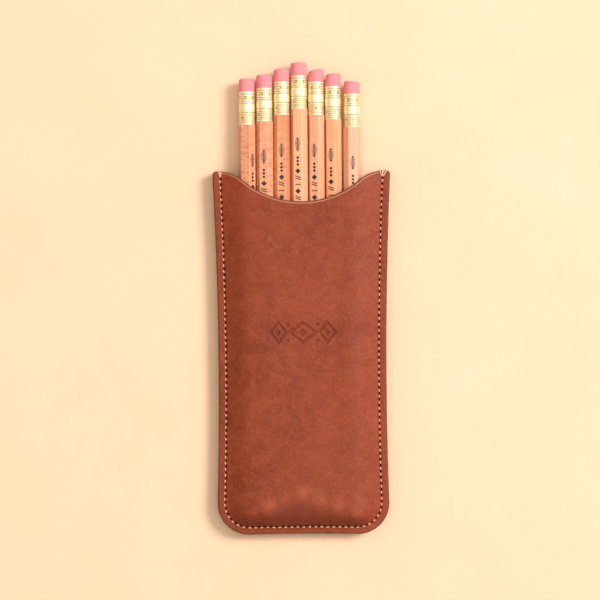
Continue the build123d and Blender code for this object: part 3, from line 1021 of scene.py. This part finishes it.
class Nodes:
    """A short way to write a material's node tree."""

    def __init__(self, name):
        self.material = bpy.data.materials.new(name)
        self.material.use_nodes = True
        self.tree = self.material.node_tree
        self.shader = self.tree.nodes["Principled BSDF"]
        coordinates = self.tree.nodes.new("ShaderNodeTexCoord")
        self.place = coordinates.outputs["Object"]

    def feed(self, socket, value):
        """Link a socket to another one, or set its value."""
        if isinstance(value, bpy.types.NodeSocket):
            self.tree.links.new(value, socket)
        else:
            socket.default_value = value

    def add(self, kind, inputs=None, **settings):
        """A node with its inputs and settings."""
        node = self.tree.nodes.new(kind)
        for key, value in settings.items():
            setattr(node, key, value)
        for key, value in (inputs or {}).items():
            self.feed(node.inputs[key], value)
        return node

    def scaled(self, x, y, z):
        """Object coordinates in millimetres, times a factor for each axis."""
        scale = (x / MM, y / MM, z / MM)
        return self.add("ShaderNodeMapping", {"Vector": self.place, "Scale": scale}).outputs["Vector"]

    def noise(self, scale, detail=4, roughness=0.55, shape=(1, 1, 1), distortion=0.0):
        """Noise between 0 and 1; the scale is per millimetre."""
        inputs = {
            "Vector": self.scaled(*shape), "Scale": scale, "Detail": detail,
            "Roughness": roughness, "Distortion": distortion,
        }
        return self.add("ShaderNodeTexNoise", inputs).outputs["Fac"]

    def ramp(self, value, low, high, to_low=0.0, to_high=1.0):
        """A value from one range brought to another, and kept within it."""
        inputs = {"Value": value, "From Min": low, "From Max": high, "To Min": to_low, "To Max": to_high}
        return self.add("ShaderNodeMapRange", inputs, clamp=True).outputs["Result"]

    def mix(self, share, first, second):
        """A colour between two, by a share."""
        node = self.add("ShaderNodeMix", data_type="RGBA")
        for index, value in ((0, share), (6, first), (7, second)):
            self.feed(node.inputs[index], value)
        return node.outputs[2]

    def tint(self, colour, mask, strength, over):
        """A colour with another laid over it where a mask is, at a strength."""
        return self.mix(self.math("MULTIPLY", mask, strength), colour, over)

    def math(self, operation, first, second=0.0):
        """A sum or product of two values."""
        node = self.add("ShaderNodeMath", operation=operation)
        for socket, value in zip(node.inputs, (first, second)):
            self.feed(socket, value)
        return node.outputs["Value"]

    def mark(self, label):
        """A value that the mesh carries at its points."""
        return self.add("ShaderNodeAttribute", attribute_name=label).outputs["Fac"]

    def bump(self, height, distance, under=None):
        """A normal from a height between 0 and 1 that stands for a distance in millimetres."""
        inputs = {"Height": height, "Distance": distance * MM, "Strength": 1.0}
        if under is not None:
            inputs["Normal"] = under
        return self.add("ShaderNodeBump", inputs).outputs["Normal"]

    def set(self, **sockets):
        """The material, with sockets of its shader set or linked."""
        for key, value in sockets.items():
            self.feed(self.shader.inputs[key.replace("_", " ")], value)
        return self.material


def leather_material():
    """Russet bridle leather: mottled dye, pores and creases, burnished edges, pale bevel, painted shade
    and highlights.
    """
    n = Nodes("russet_leather")
    broad = n.ramp(n.noise(0.035, 3, 0.6), 0.33, 0.68)
    patchy = n.ramp(n.noise(0.16, 5, 0.6, distortion=0.6), 0.36, 0.66)
    fine = n.ramp(n.noise(1.3, 4, 0.65), 0.32, 0.68)
    colour = n.mix(broad, srgb(121, 42, 14), srgb(144, 56, 25))
    colour = n.tint(colour, patchy, 0.65, srgb(160, 70, 36))
    colour = n.tint(colour, fine, 0.4, srgb(112, 38, 12))
    specks = n.ramp(n.noise(0.7, 6, 0.75), 0.62, 0.72)
    colour = n.tint(colour, specks, 0.35, srgb(96, 32, 14))
    scuffs = n.ramp(n.noise(0.45, 7, 0.8, distortion=1.2), 0.62, 0.76)
    colour = n.tint(colour, scuffs, 0.5, srgb(184, 96, 62))
    speckle = n.ramp(n.noise(0.85, 6, 0.85), 0.5, 0.66)
    colour = n.tint(colour, speckle, 0.42, srgb(180, 92, 60))
    # Painted highlight over the pencils' ends (the worn mark), broken up by noise
    worn = n.math("MULTIPLY", n.mark("worn"), n.ramp(n.noise(0.4, 4, 0.6), 0.3, 0.6, 0.2, 0.5))
    colour = n.mix(worn, colour, srgb(186, 98, 64))
    # Painted shade on the toe's slope and past the pencils' ends
    colour = n.tint(colour, n.mark("painted_toe_shade"), 0.72, srgb(106, 36, 10))
    colour = n.tint(colour, n.mark("pressed"), 0.4, srgb(92, 32, 16))
    colour = n.tint(colour, n.mark("flesh"), 0.75, srgb(122, 76, 52))
    colour = n.tint(colour, n.mark("mouth"), 0.85, srgb(206, 136, 112))
    rim = n.ramp(n.math("ADD", n.mark("rim"), n.math("MULTIPLY", fine, 0.3)), 0.4, 0.95)
    burnish = n.mix(n.ramp(n.noise(0.8, 4, 0.6), 0.35, 0.65), srgb(88, 48, 22), srgb(122, 80, 54))
    colour = n.mix(rim, colour, burnish)
    # Painted shade: the stitch holes' floors near black
    colour = n.mix(n.mark("pit"), colour, srgb(26, 6, 2))
    inputs = {"Vector": n.scaled(1, 1, 1), "Scale": 1.6}
    cells = n.add("ShaderNodeTexVoronoi", inputs, feature="DISTANCE_TO_EDGE")
    creases = n.ramp(cells.outputs["Distance"], 0.0, 0.28)
    grain = n.bump(creases, 0.04)
    grain = n.bump(n.noise(3.2, 3, 0.6), 0.05, grain)
    grain = n.bump(n.noise(0.28, 4, 0.55), 0.22, grain)
    rough = n.ramp(n.noise(0.22, 4, 0.6), 0.3, 0.7, 0.46, 0.6)
    return n.set(Base_Color=colour, Roughness=rough, Normal=grain, Specular_IOR_Level=0.28)


def thread_material():
    """Waxed linen thread, with painted shade where it goes down into the holes."""
    n = Nodes("waxed_thread")
    tone = n.ramp(n.noise(1.6, 4, 0.6), 0.3, 0.7)
    colour = n.mix(tone, srgb(206, 148, 118), srgb(238, 192, 162))
    # Painted shade where the thread lies sunk in the leather
    colour = n.mix(n.mark("sunk"), colour, srgb(44, 14, 6))
    fibre = n.bump(n.noise(9.0, 2, 0.6), 0.05)
    return n.set(Base_Color=colour, Roughness=0.62, Normal=fibre, Sheen_Weight=0.15)


def wood_material(number, light, dark, flecks):
    """Natural pencil wood: long grain, ray flecks, and a clear lacquer."""
    n = Nodes(f"pencil_wood_{number}")
    shift = number * 13.7
    stretched = n.add(
        "ShaderNodeMapping",
        {"Vector": n.place, "Location": (shift, shift, 0), "Scale": (1 / MM, 0.03 / MM, 1 / MM)},
    )
    streak = n.add(
        "ShaderNodeTexNoise",
        {"Vector": stretched.outputs["Vector"], "Scale": 1.1, "Detail": 6.0, "Roughness": 0.62},
    )
    bands = n.ramp(streak.outputs["Fac"], 0.36, 0.66)
    colour = n.mix(bands, srgb(*light), srgb(*dark))
    fine = n.ramp(n.noise(5.0, 3, 0.6, shape=(1, 0.05, 1)), 0.42, 0.7)
    colour = n.tint(colour, fine, 0.22, srgb(178, 96, 58))
    warm = n.ramp(n.noise(0.35, 2, 0.5, shape=(1, 0.02, 1)), 0.42, 0.6)
    colour = n.tint(colour, warm, 0.3, srgb(247, 188, 134))
    if flecks:
        ray = n.ramp(n.noise(1.0, 4, 0.7, shape=(0.25, 1.05, 0.25)), 0.5, 0.64)
        colour = n.tint(colour, ray, flecks, srgb(200, 104, 76))
    normal = n.bump(streak.outputs["Fac"], 0.03)
    n.set(Coat_Weight=0.2, Coat_Roughness=0.22, Specular_IOR_Level=0.3)
    return n.set(Base_Color=colour, Roughness=0.45, Normal=normal)


def gold_material():
    """Brass-gold plated ferrule, with painted shade in its grooves and dents."""
    n = Nodes("gold_ferrule")
    tone = n.ramp(n.noise(0.5, 4, 0.6), 0.3, 0.7)
    colour = n.mix(tone, srgb(252, 225, 170), srgb(255, 238, 198))
    # Painted shade in the rolled grooves, its strength varied by noise
    groove_painted_shade = n.ramp(n.noise(1.1, 4, 0.6), 0.3, 0.7, 0.35, 0.75)
    colour = n.tint(colour, n.mark("groove"), groove_painted_shade, srgb(150, 98, 38))
    # Painted shade in the punched dents, dark brown at their middles
    colour = n.mix(n.mark("dent"), colour, srgb(58, 30, 8))
    rough = n.ramp(n.noise(1.4, 4, 0.6), 0.3, 0.7, 0.3, 0.42)
    return n.set(Base_Color=colour, Metallic=0.5, Roughness=rough, Normal=n.bump(n.noise(1.2, 3), 0.03))


def eraser_material():
    """Soft pink rubber, rubbed darker in places."""
    n = Nodes("pink_eraser")
    tone = n.ramp(n.noise(0.7, 5, 0.6), 0.3, 0.7)
    colour = n.mix(tone, srgb(230, 135, 140), srgb(238, 149, 155))
    rubbed = n.ramp(n.noise(1.6, 5, 0.7), 0.66, 0.8)
    colour = n.tint(colour, rubbed, 0.3, srgb(205, 100, 104))
    n.set(Subsurface_Weight=0.08, Subsurface_Radius=(0.0012, 0.0006, 0.0005), Specular_IOR_Level=0.2)
    return n.set(Base_Color=colour, Roughness=0.75, Normal=n.bump(n.noise(4.5, 3, 0.6), 0.05))


def graphite_material():
    """The dark grey core, a little shiny."""
    n = Nodes("graphite_core")
    tone = n.noise(2.5, 3, 0.6)
    colour = n.mix(tone, srgb(44, 44, 48), srgb(78, 78, 82))
    return n.set(Base_Color=colour, Roughness=0.42, Metallic=0.3, Normal=n.bump(n.noise(6.0), 0.03))


def stamp_material():
    """The dark foil of the printed mark, worn through in places."""
    n = Nodes("dark_foil_stamp")
    wear = n.ramp(n.noise(2.6, 4, 0.7), 0.55, 0.75)
    colour = n.mix(n.math("MULTIPLY", wear, 0.5), srgb(34, 20, 26), srgb(150, 92, 68))
    return n.set(Base_Color=colour, Roughness=0.5, Normal=n.bump(n.noise(5.0), 0.01))


def floor_material():
    """The plain pale table."""
    n = Nodes("pale_table")
    tone = n.ramp(n.noise(0.02, 5, 0.6), 0.3, 0.7)
    colour = n.mix(tone, srgb(241, 204, 171), srgb(245, 209, 178))
    normal = n.bump(n.noise(0.25, 4), 0.1)
    return n.set(Base_Color=colour, Roughness=0.85, Normal=normal, Specular_IOR_Level=0.1)


# Each pencil's wood: its light tone, its dark tone, and how strong its flecks are.
WOODS = (
    ((236, 164, 126), (214, 144, 104), 0.75),
    ((238, 165, 130), (218, 142, 104), 0.65),
    ((228, 154, 112), (202, 130, 88), 0.6),
    ((243, 176, 140), (231, 156, 118), 0.1),
    ((242, 172, 138), (228, 150, 114), 0.1),
    ((243, 168, 129), (230, 149, 108), 0.15),
    ((242, 179, 154), (231, 158, 129), 0.1),
)


# --- Build, in metres ---
TABLE_HALF, TABLE_GAP = 2.0, 0.00005  # the gap keeps the leather's back off the table's surface
LIGHT_TARGET = (0.0, 0.02, 0.0)


def build_object():
    """The leather, the thread and what each pencil shows."""
    leather = leather_material()
    leather_panel("front_leather", "front_panel", 1, leather)
    leather_panel("back_leather", "back_panel", -1, leather)
    thread_piece(thread_material())
    gold, rubber = gold_material(), eraser_material()
    graphite, stamp = graphite_material(), stamp_material()
    for number, pencil in enumerate(PENCILS, start=1):
        ferrule_piece(number, pencil, gold)
        eraser_piece(number, pencil, rubber)
        stamp_piece(number, pencil, stamp)
        wood = wood_material(number, *WOODS[number - 1])
        for part, material in (("upper_slat", wood), ("lower_slat", wood), ("lead", graphite)):
            node = frame["nodes"][f"pencil_{number}_{part}"]
            for slot in node.material_slots:
                slot.material = material


def add_light(name, place, size, power, colour):
    """A square area light that faces the object."""
    data = bpy.data.lights.new(name, "AREA")
    data.shape, data.size, data.energy, data.color = "SQUARE", size, power, colour
    lamp = add_object(name, data)
    lamp.location = place
    way = Vector(LIGHT_TARGET) - Vector(place)
    lamp.rotation_mode = "QUATERNION"
    lamp.rotation_quaternion = way.to_track_quat("-Z", "Y")


def build_stage():
    """The table, the lights and the room's soft light."""
    mesh = bpy.data.meshes.new("table_top")
    half, level = TABLE_HALF, -TABLE_GAP
    corners = [(-half, -half, level), (half, -half, level), (half, half, level), (-half, half, level)]
    mesh.from_pydata(corners, [], [(0, 1, 2, 3)])
    mesh.materials.append(floor_material())
    table = add_object("table_top", mesh)
    add_light("key_light", (1.36, 0.62, 1.55), 0.75, 40.0, (1.0, 0.985, 1.0))
    add_light("top_fill", (0.0, 0.10, 1.60), 1.4, 8.0, (1.0, 0.95, 0.85))
    world = bpy.data.worlds.new("soft_room")
    world.use_nodes = True
    background = world.node_tree.nodes["Background"]
    background.inputs["Color"].default_value = (1.0, 0.95, 0.85, 1.0)
    background.inputs["Strength"].default_value = 0.52
    bpy.context.scene.world = world
    bpy.context.scene.view_settings.view_transform = "Standard"


VIEW_WIDTH = 0.2616  # of the table that the picture shows
CAMERA_HEIGHT = 0.95
SENSOR_WIDTH = 36.0
CAMERA_AT = (-0.0009, 0.0230)
CAMERA_ROLL = math.radians(-0.4)


def build_camera():
    """A camera straight above the table."""
    data = bpy.data.cameras.new("camera")
    data.sensor_width = SENSOR_WIDTH
    data.lens = SENSOR_WIDTH * CAMERA_HEIGHT / VIEW_WIDTH
    camera = add_object("camera", data)
    camera.location = (*CAMERA_AT, CAMERA_HEIGHT)
    camera.rotation_euler = (0, 0, CAMERA_ROLL)
    bpy.context.scene.camera = camera


build_object()
build_stage()
build_camera()
bpy.context.view_layer.update()
